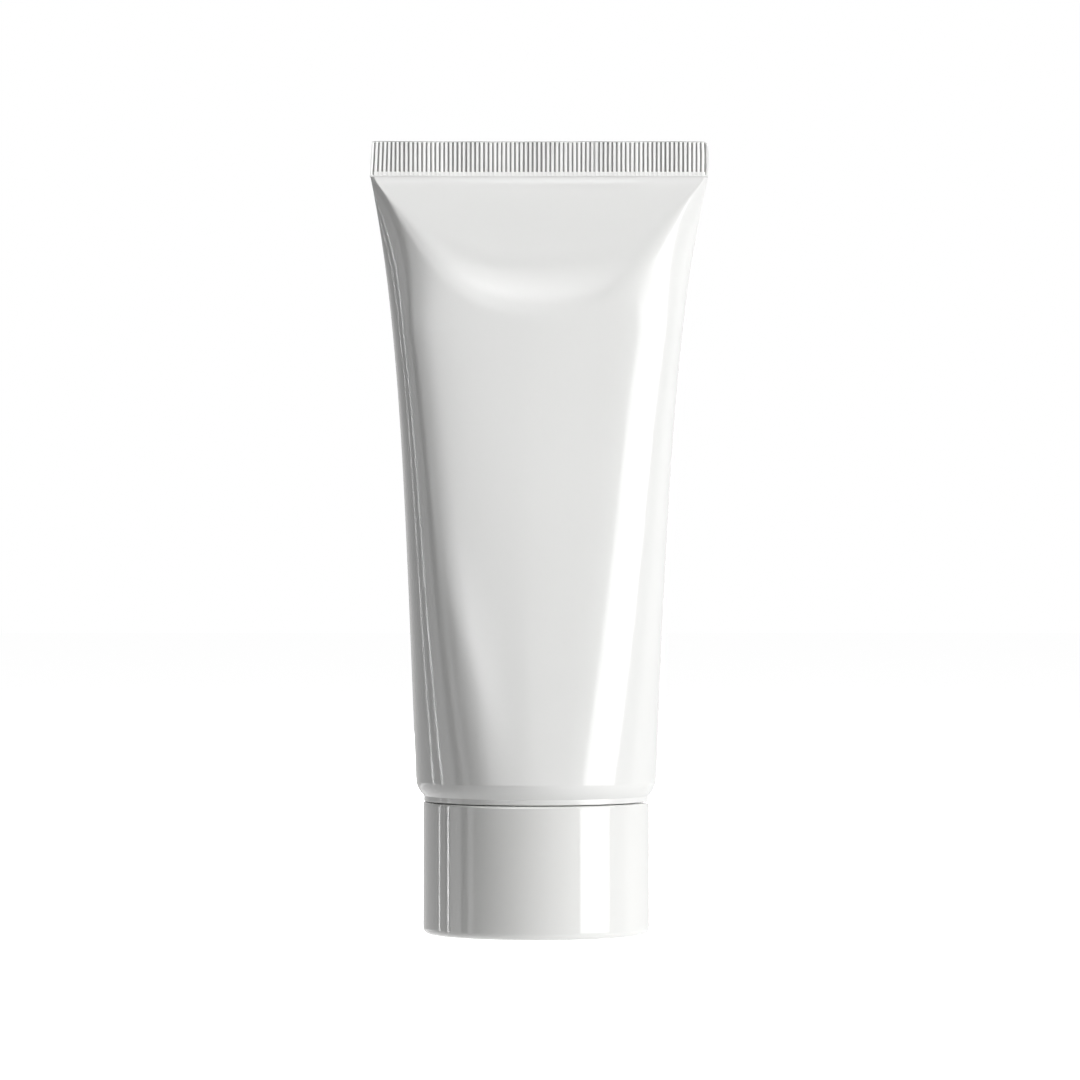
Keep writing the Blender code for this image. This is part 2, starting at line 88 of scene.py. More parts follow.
def turnOutline(name, outline, steps, loop=False):
    # turns an outline of (radius, height) points about the tube's axis
    rings = []
    for radius, height in outline:
        angles = [2 * math.pi * i / steps for i in range(steps)]
        rings.append([(radius * math.cos(a), radius * math.sin(a), height) for a in angles])
    return skinRings(name, rings, loop=loop, capped=False)


def roundCorners(corners, steps=5, support=1.3, closed=False):
    # corners are (radius, height, rounding); an edge loop beside each rounding keeps its flats flat
    outline = []
    for i, (radius, height, size) in enumerate(corners):
        here = Vector((radius, height))
        if size == 0 or (not closed and i in (0, len(corners) - 1)):
            outline.append((radius, height))
            continue
        back = Vector(corners[i - 1][:2]) - here
        ahead = Vector(corners[(i + 1) % len(corners)][:2]) - here
        half = back.angle(ahead) / 2
        run = size / math.tan(half)
        middle = here + (back.normalized() + ahead.normalized()).normalized() * size / math.sin(half)
        start = here + back.normalized() * run - middle
        end = here + ahead.normalized() * run - middle
        if run * support < back.length:
            outline.append(tuple(here + back.normalized() * run * support))
        turn = math.atan2(start.x * end.y - start.y * end.x, start.dot(end))
        for step in range(steps + 1):
            angle = turn * step / steps
            spoke = Vector((
                start.x * math.cos(angle) - start.y * math.sin(angle),
                start.x * math.sin(angle) + start.y * math.cos(angle),
            ))
            outline.append(tuple(middle + spoke))
        if run * support < ahead.length:
            outline.append(tuple(here + ahead.normalized() * run * support))
    return outline


def uprightPlate(name, outline, thickness, angle):
    # a rib or a fin: an outline of (radius, height) points, turned to its angle, with eased faces
    layers = []
    ease = thickness * 0.16  # width of the eased edge along each face
    middle = Vector((
        sum(r for r, z in outline) / len(outline), sum(z for r, z in outline) / len(outline),
    ))
    for side, inset in ((-1, ease), (-1, 0), (1, 0), (1, ease)):
        across = side * (thickness / 2 - (0 if inset else ease))
        layer = []
        for radius, height in outline:
            toMiddle = middle - Vector((radius, height))
            r = radius + math.copysign(min(inset, abs(toMiddle.x)), toMiddle.x)
            z = height + math.copysign(min(inset, abs(toMiddle.y)), toMiddle.y)
            layer.append((
                r * math.cos(angle) - across * math.sin(angle),
                r * math.sin(angle) + across * math.cos(angle),
                z,
            ))
        layers.append(layer)
    return skinRings(name, layers)


def mergePieces(name, pieces):
    # one object holding several separate closed shapes, for a single cut or union
    work = bmesh.new()
    for piece in pieces:
        work.from_mesh(piece.data)
        bpy.data.objects.remove(piece)
    mesh = bpy.data.meshes.new(name)
    work.to_mesh(mesh)
    work.free()
    merged = bpy.data.objects.new(name, mesh)
    bpy.context.scene.collection.objects.link(merged)
    return merged


def combine(piece, tool, operation):
    change = piece.modifiers.new(operation.lower(), "BOOLEAN")
    change.operation = operation
    change.solver = "EXACT"
    change.object = tool
    reader = bpy.context.evaluated_depsgraph_get()
    mesh = bpy.data.meshes.new_from_object(piece.evaluated_get(reader))
    piece.modifiers.clear()
    piece.data = mesh
    bpy.data.objects.remove(tool)
    return piece


def finishPiece(piece, material, body, node, sharp=35):
    piece.data.materials.clear()
    piece.data.materials.append(material)
    piece.data.shade_smooth()
    piece.data.set_sharp_from_angle(angle=math.radians(sharp))
    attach(piece, body)
    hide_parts(node)
    print(piece.name, "made with", len(piece.data.polygons), "faces")


def threadRidge(name, root, crest, turns, low, pitch, steps=110):
    # a right-handed ridge with an eased crest that grows out of its wall and fades back into it
    thread = {
        "rootWidth": 1.8 * mm,
        "crestWidth": 0.65 * mm,
        "sunk": 0.4 * mm,       # how deep its root goes into the wall
        "fade": 0.14,           # share of a turn over which each end grows
        "leastGrown": 0.05,
        "ease": 0.12 * mm,
        "easedWidth": 1.18,     # widths of the eased crest, as shares of the crest's own
        "tipWidth": 0.72,
    }
    outward = math.copysign(1.0, crest - root)
    first, last = turns
    count = round((last - first) * steps)
    rings = []
    for i in range(count + 1):
        turn = first + (last - first) * i / count
        fromEnd = min(turn - first, last - turn) / thread["fade"]
        grown = math.sin(math.pi / 2 * min(1.0, max(thread["leastGrown"], fromEnd)))
        tip = root + (crest - root) * grown
        wide = thread["rootWidth"] / 2
        narrow = wide + (thread["crestWidth"] / 2 - wide) * grown
        eased = tip - outward * thread["ease"] * grown
        half = [
            (root - outward * thread["sunk"], wide), (root, wide),
            (eased, narrow * thread["easedWidth"]), (tip, narrow * thread["tipWidth"]),
        ]
        section = [(r, -z) for r, z in half] + half[::-1]
        angle = 2 * math.pi * turn
        rise = low + pitch * turn
        rings.append([(r * math.cos(angle), r * math.sin(angle), rise + z) for r, z in section])
    return skinRings(name, rings)


def startMaterial(name, look):
    material = bpy.data.materials.new(name)
    material.use_nodes = True
    tree = material.node_tree
    shader = tree.nodes["Principled BSDF"]
    for socket, value in look.items():
        shader.inputs[socket].default_value = value
    place = tree.nodes.new("ShaderNodeTexCoord").outputs["Object"]
    return material, tree, shader, place


def stretched(tree, place, scale):
    mapping = tree.nodes.new("ShaderNodeMapping")
    mapping.inputs["Scale"].default_value = scale
    tree.links.new(place, mapping.inputs["Vector"])
    return mapping.outputs["Vector"]


def cloudy(tree, place, scale, detail=3.0, rough=0.5):
    cloud = tree.nodes.new("ShaderNodeTexNoise")
    cloud.inputs["Scale"].default_value = scale
    cloud.inputs["Detail"].default_value = detail
    cloud.inputs["Roughness"].default_value = rough
    tree.links.new(place, cloud.inputs["Vector"])
    return cloud.outputs["Fac"]


def remapped(tree, value, fromLow, fromHigh, toLow, toHigh):
    change = tree.nodes.new("ShaderNodeMapRange")
    settings = {"From Min": fromLow, "From Max": fromHigh, "To Min": toLow, "To Max": toHigh}
    for socket, number in settings.items():
        change.inputs[socket].default_value = number
    tree.links.new(value, change.inputs["Value"])
    return change.outputs["Result"]


def joined(tree, operation, first, second):
    step = tree.nodes.new("ShaderNodeMath")
    step.operation = operation
    for socket, value in zip(step.inputs, (first, second)):
        if isinstance(value, (int, float)):
            socket.default_value = value
        else:
            tree.links.new(value, socket)
    return step.outputs["Value"]


def mixedColors(tree, share, first, second):
    # first and second are plain (r, g, b) colours or the output of another mix
    mix = tree.nodes.new("ShaderNodeMix")
    mix.data_type = "RGBA"
    tree.links.new(share, mix.inputs["Factor"])
    for socket, color in ((mix.inputs[6], first), (mix.inputs[7], second)):
        if isinstance(color, tuple):
            socket.default_value = (*color, 1.0)
        else:
            tree.links.new(color, socket)
    return mix.outputs[2]


def bumped(tree, shader, heights):
    # heights is a list of (value, distance in metres, strength), the coarsest first
    normal = None
    for value, distance, strength in heights:
        bump = tree.nodes.new("ShaderNodeBump")
        bump.inputs["Distance"].default_value = distance
        bump.inputs["Strength"].default_value = strength
        tree.links.new(value, bump.inputs["Height"])
        if normal is not None:
            tree.links.new(normal, bump.inputs["Normal"])
        normal = bump.outputs["Normal"]
    tree.links.new(normal, shader.inputs["Normal"])


sleeve = {
    "radius": sleeveHigh.y,
    "wall": 0.5 * mm,
    "footBottom": sleeveLow.z - 0.14 * mm,  # hangs close over the cap's rim
    "footRounding": 4.0 * mm,
    "footCrease": math.radians(10),  # the side meets the foot's rounding at this angle
    "footSteps": 12,
    "footCrowding": 1.4,
    "footLip": 18.7 * mm,   # the rounding ends in a short upright lip over the cap's rim
    "lipEdge": 0.15 * mm,
    "sideBottom": sleeveLow.z + 3.1 * mm,
    "footOpening": 17.2 * mm,
    "crimpBottom": sleeveHigh.z - 5.9 * mm,
    "lean": (sleeveHigh.x + sleeveLow.x) / 2,
    "leanPower": 1.5,
    "widthFlare": 4.1 * mm,
    "topFlare": 3.9 * mm,
    "topFlarePower": 4.2,
    "depthLoss": 5.0 * mm,
    "depthSquareLoss": 5.2 * mm,
    "faceSlope": 0.69,      # sloped faces under the seal, depth gained for each height lost
    "faceFillet": 1.2 * mm,
    "faceStart": 0.46 * mm,
    "bendSoftness": 3.8 * mm,
    "bendDepth": 4.2 * mm,  # the bend is sharper where the faces are closer than this
    "leastSoftness": 0.05 * mm,
    "skinInset": 1.2,       # inset of a sloped face for each inset of the wall
    "leastCavity": 0.12 * mm,
    "fullness": 0.36,       # how much flatter than an ellipse the front and the back are
    "fullnessReach": 0.5,   # share of the climb over which that grows
    "cornerPoint": 1.35,    # the section's ends grow pointed near the seal
    "cornerStart": 0.74,
    "cornerPower": 1.5,
    "dent": 0.05 * mm,      # soft unevenness of the filled wall
    "dentPitch": (55, 38),  # its waves for each metre, round the wall and up it
    "dentFade": 12 * mm,
    "waveReach": 15 * mm,   # how far below the seal its bow fades out
    "sidePoints": 36,
    "facePoints": 28,
    "crowding": 1.25,       # points stand closer together at the folds
    "wideFold": math.radians(62),
    "topZone": 32 * mm,
    "foldZone": 4 * mm,
    "cavityGap": 1.3 * mm,
    "sealRoot": 0.8 * mm,   # how far the wall goes up into the seal
    "insideRings": 44,
    "sideRings": 66,
    "topRings": 60,
    "foldRings": 20,
}


def climb(height):
    # 0 where the foot's rounding meets the side and 1 at the seal
    return (height - sleeve["sideBottom"]) / (sleeve["crimpBottom"] - sleeve["sideBottom"])


def leanAt(height):
    return sleeve["lean"] * min(1.0, max(0.0, climb(height))) ** sleeve["leanPower"]


def faceDepth(height):
    drop = max(0.0, sleeve["crimpBottom"] - height)
    fillet = sleeve["faceFillet"]
    return sleeve["faceStart"] + sleeve["faceSlope"] * (math.hypot(drop, fillet) - fillet)


def softMin(a, b, softness):
    share = min(1.0, max(0.0, 0.5 + 0.5 * (b - a) / softness))
    return b + (a - b) * share - softness * share * (1.0 - share)


def dentDepth(x, y, height):
    around, upward = sleeve["dentPitch"]
    swell = noise.noise(Vector((x * around, y * around + 3.1, height * upward)))
    fade = min(1.0, max(0.0, (sleeve["crimpBottom"] - height) / sleeve["dentFade"]))
    fade *= min(1.0, max(0.0, (height - sleeve["sideBottom"]) / sleeve["dentFade"]))
    return sleeve["dent"] * (0.6 + swell) * fade


def sleeveSection(height, inset=0.0, least=0.0):
    # a pointed ellipse cut off by the sloped faces; an edge of the mesh follows each fold
    t = min(1.0, climb(height))
    width = sleeve["radius"] + sleeve["widthFlare"] * t - inset
    width += sleeve["topFlare"] * t ** sleeve["topFlarePower"]
    depth = sleeve["radius"] - sleeve["depthLoss"] * t - sleeve["depthSquareLoss"] * t * t - inset
    flat = max(least, faceDepth(height) - sleeve["skinInset"] * inset)
    grown = 1 - (1 - min(1.0, max(0.0, t) / sleeve["fullnessReach"])) ** 2
    pointed = max(0.0, t - sleeve["cornerStart"]) / (1 - sleeve["cornerStart"])
    power = 1.0 - sleeve["fullness"] * grown
    power += sleeve["cornerPoint"] * pointed ** sleeve["cornerPower"]
    fold = math.asin(min(1.0, flat / depth) ** (1.0 / power))
    fold = min(fold, sleeve["wideFold"])
    quarter = []
    for i in range(sleeve["sidePoints"]):
        quarter.append(fold * (1 - (1 - i / sleeve["sidePoints"]) ** sleeve["crowding"]))
    for i in range(sleeve["facePoints"]):
        share = (i / sleeve["facePoints"]) ** sleeve["crowding"]
        quarter.append(fold + (math.pi / 2 - fold) * share)
    returning = [math.pi / 2] + quarter[:0:-1]
    angles = quarter + [math.pi - a for a in returning]
    angles += [math.pi + a for a in quarter] + [2 * math.pi - a for a in returning]
    ring = []
    for angle in angles:
        rise = abs(math.sin(angle))
        softness = sleeve["bendSoftness"] * min(1.0, flat / sleeve["bendDepth"]) * rise * rise
        softness = max(sleeve["leastSoftness"], softness)
        out = softMin(depth * rise**power, flat, softness)
        x = leanAt(height) + width * math.cos(angle)
        y = math.copysign(out, math.sin(angle))
        y += sealWave(x) * max(0.0, 1 - (sleeve["crimpBottom"] - height) / sleeve["waveReach"])
        if inset == 0.0:
            y -= math.copysign(dentDepth(x, y, height) * rise, y)
        ring.append((x, y, height))
    return ring


def circleRing(radius, height):
    return [(radius * math.cos(a), radius * math.sin(a), height) for a in sleeveAngles()]


def sleeveAngles():
    # the angles that a round section uses, so that the foot's rings match the side's
    ring = sleeveSection(sleeve["sideBottom"])
    return [math.atan2(y, x) % (2 * math.pi) for x, y, z in ring]


def sleeveHeights(bottom, top, steps):
    return [bottom + (top - bottom) * i / steps for i in range(steps + 1)]


def footOutline(inset):
    # the sleeve's foot from its floor up the lip and the rounding to the crease under the side
    crease, steps = sleeve["footCrease"], sleeve["footSteps"]
    middle = sleeve["radius"] - sleeve["footRounding"] * math.cos(crease)
    level = sleeve["sideBottom"] + sleeve["footRounding"] * math.sin(crease)
    radius = sleeve["footRounding"] - inset
    end = math.asin((level - sleeve["footBottom"] - inset) / radius)
    lip = sleeve["footLip"] - inset
    outline = []
    for i in range(steps + 1):
        angle = crease + (end - crease) * (1 - i / steps) ** sleeve["footCrowding"]
        outward = max(lip, middle + radius * math.cos(angle))
        outline.append((outward, level - radius * math.sin(angle)))
    if inset == 0.0:
        edge, floor = sleeve["lipEdge"], sleeve["footBottom"]
        eased = (lip - 0.3 * edge, floor + 0.3 * edge)
        outline[0:1] = [(lip - edge, floor), eased, (lip, floor + edge)]
    return outline


def makeSleeve():
    bottom, top = sleeve["sideBottom"], sleeve["crimpBottom"]
    shoulder, fold = top - sleeve["topZone"], top - sleeve["foldZone"]
    cavityTop = top - sleeve["cavityGap"]
    inside = [
        sleeveSection(z, sleeve["wall"], sleeve["leastCavity"])
        for z in sleeveHeights(bottom, cavityTop, sleeve["insideRings"])[:0:-1]
    ]
    inside += [circleRing(r, z) for r, z in footOutline(sleeve["wall"])[::-1]]
    lip = [
        circleRing(sleeve["footOpening"], sleeve["footBottom"] + sleeve["wall"]),
        circleRing(sleeve["footOpening"], sleeve["footBottom"]),
    ]
    outside = [circleRing(r, z) for r, z in footOutline(0.0)]
    heights = [bottom + 0.12 * mm, bottom + 0.4 * mm]  # two close rings keep the crease crisp
    heights += sleeveHeights(bottom, shoulder, sleeve["sideRings"])[1:]
    heights += sleeveHeights(shoulder, fold, sleeve["topRings"])[1:]
    heights += sleeveHeights(fold, top, sleeve["foldRings"])[1:]
    outside += [sleeveSection(z) for z in heights]
    outside.append([(x, y, top + sleeve["sealRoot"]) for x, y, z in sleeveSection(top)])
    return skinRings("sleeve", inside + lip + outside)


seal = {
    "halfWidth": (sleeveHigh.x - sleeveLow.x) / 2,
    "bottom": sleeve["crimpBottom"],
    "top": sleeveHigh.z,
    "ribs": 75,
    "margin": 0.55 * mm,
    "crest": 0.50 * mm,
    "groove": 0.24 * mm,
    "underCut": 0.05 * mm,      # the seal is a little thinner where it meets the faces
    "bow": 0.45 * mm,           # the flat seal isn't quite straight in plan
    "bowPitch": 112.0,          # radians for each metre along the seal
    "bowMiddle": 6 * mm,
    "yaw": 0.018,
    "wave": 0.04 * mm,
    "wavePitch": 560,
    "grooveStart": 0.15 * mm,   # smooth strip under the grooves
    "scallop": 0.07 * mm,
    "rightCorner": 0.9 * mm,
    "leftCorner": 0.35 * mm,
    "leftLean": 0.35 * mm,
    "leftLeanReach": 5 * mm,
    "rightTuck": 0.14 * mm,
    "rightTuckReach": 2 * mm,
    "weakRib": 50,              # one groove that the jaws pressed only lightly
    "weakShare": 0.72,
    "jitter": 0.03,
    "lowSteps": (-0.10, 0.04, 0.14, 0.24, 0.32, 0.42, 0.56),  # mm over the lower edge
    "middleShares": (0.16, 0.34, 0.52, 0.70, 0.85),
    "topSteps": (0.50, 0.34, 0.22, 0.12, 0.05, 0.0),          # mm under the upper edge
    "stations": (0.0, 0.09, 0.14, 0.18, 0.23, 0.33, 0.46, 0.60, 0.73, 0.80, 0.85, 0.91),
}


def smoothRise(value, low, high):
    share = min(1.0, max(0.0, (value - low) / (high - low)))
    return share * share * (3 - 2 * share)


def sealWave(x):
    bow = seal["yaw"] * x - seal["bow"] * math.sin(seal["bowPitch"] * (x - seal["bowMiddle"]))
    return bow + seal["wave"] * math.sin(x * seal["wavePitch"] + 2.0)


def ribShape(u):
    # across one rib: a steep left flank, a crest that falls away to the right, and a groove
    crest = 1 - 0.42 * max(0.0, (u - 0.23) / 0.55) ** 1.6
    return smoothRise(u, 0.11, 0.23) * crest * (1 - smoothRise(u, 0.76, 0.87))


def sealTop(x, share):
    top = seal["top"] - 0.5 * seal["scallop"] * (1 - share)
    top -= 0.5 * seal["scallop"] * (1 + noise.noise(Vector((x * 420, 0.7, 0.2))))
    fromRight = sleeve["lean"] + seal["halfWidth"] - x
    fromLeft = x - sleeve["lean"] + seal["halfWidth"]
    for reach, size in ((fromRight, seal["rightCorner"]), (fromLeft, seal["leftCorner"])):
        if reach < size:
            top -= size - math.sqrt(max(0.0, size * size - (size - reach) ** 2))
    return top


def sealColumn(x, share):
    # one upright cut through the seal: up the front, over the top and down the back
    top = sealTop(x, share)
    low = seal["bottom"]
    heights = [low + step * mm for step in seal["lowSteps"]]
    heights += [low + (top - low) * part for part in seal["middleShares"]]
    heights += [top - step * mm for step in seal["topSteps"]]
    front = []
    for z in heights:
        cut = smoothRise(z, low + seal["grooveStart"], low + 2.2 * seal["grooveStart"])
        cut *= 1 - smoothRise(z, top - 0.30 * mm, top - 0.05 * mm)
        half = seal["crest"] - (seal["crest"] - seal["groove"]) * (1 - share) * cut
        half *= 1 - 0.45 * smoothRise(z, top - 0.24 * mm, top) ** 2
        half -= seal["underCut"] * (1 - smoothRise(z, low - 0.12 * mm, low + 0.16 * mm))
        rise = (z - low) / (seal["top"] - low)
        fromLeft = x - sleeve["lean"] + seal["halfWidth"]
        fromRight = sleeve["lean"] + seal["halfWidth"] - x
        nearLeft = max(0.0, 1 - fromLeft / seal["leftLeanReach"])
        nearRight = max(0.0, 1 - fromRight / seal["rightTuckReach"])
        shifted = x + seal["leftLean"] * nearLeft * max(0.0, rise)
        waist = 1 - math.sin(math.pi * min(1.0, max(0.0, rise)))
        shifted -= seal["rightTuck"] * nearRight * waist
        front.append((shifted, half, z))
    wave = sealWave(x)
    column = [(shifted, wave - half, z) for shifted, half, z in front]
    return column + [(shifted, wave + half, z) for shifted, half, z in front[::-1]]


def makeSeal():
    pitch = 2 * (seal["halfWidth"] - seal["margin"]) / seal["ribs"]
    left = sleeve["lean"] - seal["halfWidth"]
    start = left + seal["margin"]
    edge = 0.05 * mm
    columns = [sealColumn(left + d, 0.78 + 0.2 * d / seal["margin"]) for d in (0.0, edge, 4 * edge)]
    for rib in range(seal["ribs"]):
        for u in seal["stations"]:
            share = ribShape(u)
            if rib == seal["weakRib"] and u < 0.4:
                share = seal["weakShare"] + (1 - seal["weakShare"]) * share
            jitter = seal["jitter"] * noise.noise(Vector((rib * 1.7, 4.2, 0.3)))
            columns.append(sealColumn(start + (rib + u + jitter) * pitch, share))
    end = start + seal["ribs"] * pitch
    columns.append(sealColumn(end, 0.0))
    right = left + 2 * seal["halfWidth"]
    for d in (6 * edge, 3 * edge, edge, 0.0):
        columns.append(sealColumn(right - d, 0.9))
    return skinRings("ribbed_seal", columns)


softWhite = {
    "finish": {"Roughness": 0.12, "IOR": 1.5, "Specular IOR Level": 0.5},
    "driftScale": 45,
    "lineScale": 900,       # faint lines along the tube, from the extruder's die
    "lineStretch": (1.0, 1.0, 0.04),
    "peelScale": 700,
    "roughness": (0.095, 0.15),
    "relief": 0.004 * mm,
    "colors": ((0.848, 0.850, 0.838), (0.878, 0.880, 0.867)),
    # painted shade in the seal's grooves and a painted highlight on its lands, chosen by the depth from
    # the seal's middle
    "paintedGrooveShade": (0.38, 0.38, 0.37),
    "paintedLandHighlight": (0.99, 0.99, 0.98),
    "paintedLightDepths": (0.30 * mm, 0.42 * mm),
}


def bowNodes(tree, split):
    # the same bow as sealWave, worked out by the material from the place's x
    turned = joined(tree, "MULTIPLY", split.outputs["X"], seal["bowPitch"])
    turned = joined(tree, "SUBTRACT", turned, seal["bowPitch"] * seal["bowMiddle"])
    bow = joined(tree, "MULTIPLY", joined(tree, "SINE", turned, 0.0), -seal["bow"])
    return joined(tree, "ADD", bow, joined(tree, "MULTIPLY", split.outputs["X"], seal["yaw"]))


def softWhitePlastic():
    # glossy extruded polyethylene; the seal's grooves get painted shade and its lands a painted highlight
    material, tree, shader, place = startMaterial("soft_white_plastic", softWhite["finish"])
    lengthwise = stretched(tree, place, softWhite["lineStretch"])
    drift = cloudy(tree, place, softWhite["driftScale"], 2.0)
    lines = cloudy(tree, lengthwise, softWhite["lineScale"], 3.0)
    body = mixedColors(tree, drift, *softWhite["colors"])
    split = tree.nodes.new("ShaderNodeSeparateXYZ")
    tree.links.new(place, split.inputs["Vector"])
    offBow = joined(tree, "SUBTRACT", split.outputs["Y"], bowNodes(tree, split))
    depth = joined(tree, "ABSOLUTE", offBow, 0.0)
    edge = seal["bottom"] + seal["grooveStart"]
    onSeal = remapped(tree, split.outputs["Z"], seal["bottom"], edge, 0.0, 1.0)
    # painted light on the seal: dark in the grooves for their shade, white on the lands for their
    # highlight
    land = remapped(tree, depth, *softWhite["paintedLightDepths"], 0.0, 1.0)
    sealPaintedLight = mixedColors(tree, land, softWhite["paintedGrooveShade"], softWhite["paintedLandHighlight"])
    tree.links.new(mixedColors(tree, onSeal, body, sealPaintedLight), shader.inputs["Base Color"])
    gloss = remapped(tree, lines, 0.3, 0.7, *softWhite["roughness"])
    tree.links.new(gloss, shader.inputs["Roughness"])
    peel = cloudy(tree, place, softWhite["peelScale"], 2.0)
    bumped(tree, shader, [(lines, softWhite["relief"], 0.25), (peel, softWhite["relief"], 0.25)])
    return material


head = {
    "shoulder": 16.9 * mm,
    "slope": 0.291,
    "wall": 1.2 * mm,
    "rimInner": 18.2 * mm,
    "rimOuter": headHigh.x,
    "rimTop": headHigh.z,
    "rimTaper": (0.7 * mm, 1.0 * mm),  # the rim thins outwards over its last millimetre
    "neck": 7.85 * mm,
    "bore": 6.6 * mm,
    "bottom": headLow.z,
    "endWall": 1.2 * mm,
    "orifice": 2.75 * mm,
    "threadCrest": 8.9 * mm,
    "threadLow": headLow.z + 2.1 * mm,
    "threadTurns": (0.0, 1.5),
    "pitch": 3.175 * mm,
    "gap": 0.3 * mm,
}


def shoulderHeight(radius):
    return sleeveLow.z - head["slope"] * (head["shoulder"] - radius)


def boreOutline(inset):
    endWall = head["bottom"] + head["endWall"] + inset
    root = shoulderHeight(head["bore"]) + head["wall"] + inset
    shoulder = shoulderHeight(head["shoulder"]) + head["wall"] + inset
    return [
        (head["orifice"] - inset, endWall, 0.25 * mm),
        (head["bore"] - inset, endWall, 0.5 * mm),
        (head["bore"] - inset, root, 0.5 * mm),
        (head["shoulder"] - inset / 2, shoulder, 0.3 * mm),
        (head["rimInner"] - inset, sleeve["sideBottom"], 0.3 * mm),
        (head["rimInner"] - inset, head["rimTop"] - head["rimTaper"][1], 0.0),
    ]


def makeHead():
    rimFloor = sleeveLow.z + sleeve["wall"] + head["gap"]
    corners = [(head["rimOuter"], head["rimTop"], 0.1 * mm)]
    for radius, height in footOutline(sleeve["wall"] + head["gap"])[::-1]:
        corners.append((min(radius, head["rimOuter"]), height, 0.0))
    corners += [
        (head["shoulder"], rimFloor, 0.0),
        (head["shoulder"], shoulderHeight(head["shoulder"]), 0.12 * mm),
        (head["neck"], shoulderHeight(head["neck"]), 0.8 * mm),
        (head["neck"], head["bottom"], 0.35 * mm),
        (head["orifice"], head["bottom"], 0.12 * mm),
    ]
    corners += boreOutline(0.0)
    corners.append((head["rimInner"] + head["rimTaper"][0], head["rimTop"], 0.1 * mm))
    piece = turnOutline("threaded_head", roundCorners(corners, closed=True), turnSteps, loop=True)
    ridge = threadRidge(
        "neck_thread", head["neck"], head["threadCrest"], head["threadTurns"],
        head["threadLow"], head["pitch"],
    )
    return combine(piece, ridge, "UNION")


cream = {
    "top": creamHigh.z - 0.6 * mm,
    "rings": 40,
    "crown": (0.85, 0.6, 0.3),  # shares of the width where the uneven top rises
    "swell": 0.55 * mm,
    "swellPitch": 160,
}


def makeCream():
    inset = head["gap"]
    outline = [(head["orifice"] - inset, head["bottom"])]
    outline += [(r, z) for r, z, size in boreOutline(inset)]
    rings = [circleRing(radius, height) for radius, height in outline]
    overRim = head["rimTop"] + inset
    rings.append(circleRing(head["rimInner"] + inset, overRim))
    skin, pitch = sleeve["wall"] + inset, cream["swellPitch"]
    for z in sleeveHeights(overRim + 2 * inset, cream["top"], cream["rings"]):
        rings.append(sleeveSection(z, skin, sleeve["leastCavity"]))
    for share in cream["crown"]:
        lifted = []
        for x, y, z in sleeveSection(cream["top"], skin, sleeve["leastCavity"]):
            bump = 0.5 + 0.5 * noise.noise(Vector((x * pitch, y * pitch, share)))
            lifted.append((x * share, y * share, z + cream["swell"] * bump))
        rings.append(lifted)
    print("cream lofted over", len(rings), "rings")
    return skinRings("cream_fill", rings)


foil = {
    "radius": 7.2 * mm,
    "top": foilHigh.z,
    "thickness": 0.2 * mm,
    "bead": 0.04 * mm,        # ring that the hot sealing jaw pressed into it
    "beadOuter": (6.6 * mm, 6.4 * mm),
    "beadInner": (5.0 * mm, 4.8 * mm),
    "tabHalf": 2.3 * mm,
    "tabReach": -foilLow.x,
    "tabRoot": 5.7 * mm,
    "tabEnd": 1.0 * mm,
    "skin": 0.12 * mm,
    "foldGap": 0.16 * mm,
    "foldSteps": 6,
    "turnSteps": 120,
}


def makeFoil():
    bottom = foil["top"] - foil["thickness"]
    pressed = bottom + foil["bead"]
    corners = [
        (0.0, foil["top"], 0.0),
        (foil["radius"], foil["top"], 0.05 * mm),
        (foil["radius"], bottom, 0.05 * mm),
        (foil["beadOuter"][0], bottom, 0.1 * mm),
        (foil["beadOuter"][1], pressed, 0.1 * mm),
        (foil["beadInner"][0], pressed, 0.1 * mm),
        (foil["beadInner"][1], bottom, 0.1 * mm),
        (0.0, bottom, 0.0),
    ]
    disc = turnOutline("seal_foil", roundCorners(corners, steps=3), foil["turnSteps"])
    over = bottom + foil["thickness"] / 4
    under = over - foil["foldGap"]
    skin = foil["skin"]
    bend = foil["foldGap"] / 2  # inner radius of the fold
    start, middle = foil["tabReach"] - bend - skin, (over + under) / 2
    outer, inner = [], []
    for i in range(foil["foldSteps"] + 1):
        angle = math.pi * (0.5 - i / foil["foldSteps"])
        for side, radius in ((outer, bend + skin), (inner, bend)):
            side.append((start + radius * math.cos(angle), middle + radius * math.sin(angle)))
    outline = [(foil["tabRoot"], over + skin)] + outer
    outline += [(foil["tabEnd"], under - skin), (foil["tabEnd"], under)] + inner[::-1]
    outline.append((foil["tabRoot"], over))
    faces = []
    for side in (-1, 1):
        faces.append([(-r, side * foil["tabHalf"], z) for r, z in outline])
    tab = skinRings("pull_tab", faces)
    return combine(disc, tab, "UNION")


cap = {
    "radius": shellHigh.x,
    "height": shellHigh.z,
    "wall": 1.4 * mm,
    "floor": 1.9 * mm,
    "footEdge": 1.0 * mm,
    "rimEdge": 0.35 * mm,
    "recess": 15.5 * mm,
    "recessDepth": 0.5 * mm,
    "gate": 0.9 * mm,
    "gateDepth": 0.25 * mm,
    "grooveRadius": 17.8 * mm,
    "grooveHalf": 0.5 * mm,
    "snapHeight": 20.6 * mm,
    "turnSteps": 224,
    "driveRibs": 6,
    "driveRibInner": 16.75 * mm,
    "driveRibWidth": 1.0 * mm,
    "driveRibTop": 20.8 * mm,
    "driveRibChamfer": 0.4 * mm,
    "overlap": 0.5 * mm,
}


def driveAngle(index):
    return 2 * math.pi * (index + 0.5) / cap["driveRibs"]


